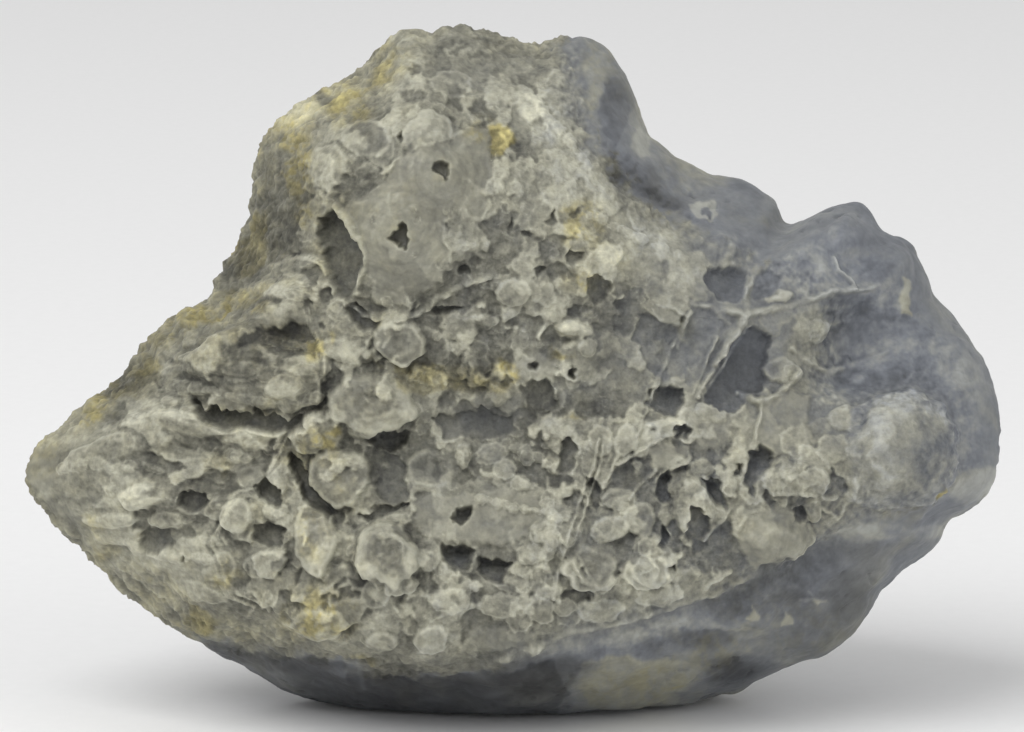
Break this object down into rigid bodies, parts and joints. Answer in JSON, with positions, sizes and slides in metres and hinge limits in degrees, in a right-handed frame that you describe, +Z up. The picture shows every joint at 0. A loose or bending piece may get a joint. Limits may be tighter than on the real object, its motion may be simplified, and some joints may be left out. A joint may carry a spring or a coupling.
{
  "type": "rough chalcedony",
  "caption": "Rough lump of blue-grey chalcedony with a pale knobbly crust on its front, leaning back on a small flat spot.",
  "frame": {"origin": "centre of the bounding box, at the flat spot the stone rests on", "axes": "+X along the stone's length, to the right as its crusted face is seen; the crusted face looks along -Y; +Z up"},
  "size_m": [0.0974, 0.0493, 0.0684],
  "materials": {
    "chalcedony": "waxy, with a dull crust on the front"
  },
  "bodies": {
    "root": {"chalcedony": "chalcedony"}
  },
  "joints": []
}
